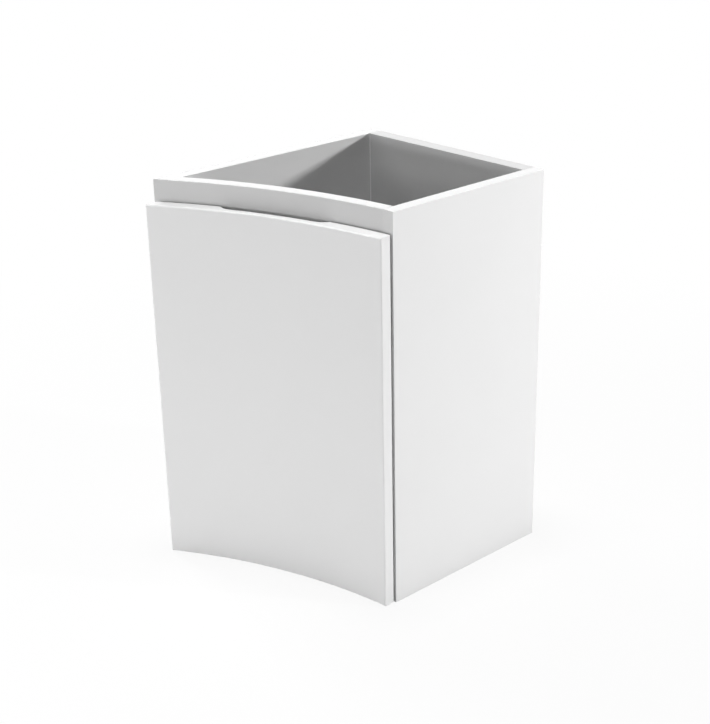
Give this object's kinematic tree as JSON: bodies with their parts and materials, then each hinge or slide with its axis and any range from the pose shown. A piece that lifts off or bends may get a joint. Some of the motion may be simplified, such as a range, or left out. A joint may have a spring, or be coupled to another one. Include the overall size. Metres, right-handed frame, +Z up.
{
  "type": "vanity side cabinet",
  "caption": "White wall-hung bathroom side cabinet with an open top, a concave front, a curved slab door with a finger pull routed into its top edge, and a loose inner shelf.",
  "frame": {"origin": "middle of the overall box in plan, at the underside of the cabinet", "axes": "+Z up, front of the cabinet towards -Y, the deeper side panel at -X"},
  "size_m": [0.275, 0.339, 0.45],
  "materials": {
    "white_gloss_lacquer": "fibreboard sprayed with white gloss lacquer",
    "white_melamine_board": "particle board faced with white satin melamine",
    "plated_steel": "steel with bright nickel plating",
    "zinc_die_casting": "satin zinc die casting",
    "beech": "plain fluted beech, unfinished",
    "white_nylon": "moulded white plastic",
    "clear_silicone": "soft clear rubber"
  },
  "bodies": {
    "carcass": {"left_side_panel": "white_gloss_lacquer", "right_side_panel": "white_gloss_lacquer", "bottom_panel": "white_melamine_board", "back_panel": "white_melamine_board", "front_fascia": "white_gloss_lacquer", "shelf": "white_melamine_board", "shelf_pins": "plated_steel", "fascia_block_left": "white_nylon", "fascia_block_right": "white_nylon", "fascia_block_screws": "plated_steel", "bottom_cam_locks": "zinc_die_casting", "bottom_cam_bolts": "plated_steel", "bottom_dowels": "beech", "back_cam_locks": "zinc_die_casting", "back_cam_bolts": "plated_steel", "back_dowels": "beech", "hanger_plate_left": "plated_steel", "hanger_plate_right": "plated_steel", "hanger_screws": "plated_steel", "hinge_plate_lower": "zinc_die_casting", "hinge_plate_upper": "zinc_die_casting", "hinge_plate_screws": "plated_steel", "hinge_arm_lower": "plated_steel", "hinge_arm_upper": "plated_steel", "hinge_arm_screws": "plated_steel", "hinge_adjusting_screws": "plated_steel"},
    "door": {"door_panel": "white_gloss_lacquer", "door_bumpers": "clear_silicone", "hinge_cup_lower": "plated_steel", "hinge_cup_upper": "plated_steel", "hinge_pin_lower": "plated_steel", "hinge_pin_upper": "plated_steel", "cup_screws": "plated_steel"}
  },
  "joints": [
    {"name": "door_hinge", "type": "hinge", "parent": "carcass", "child": "door", "pos_m": [0.13011, -0.06891, 0], "axis": [0, 0, 1], "range_deg": [0, 100]}
  ]
}
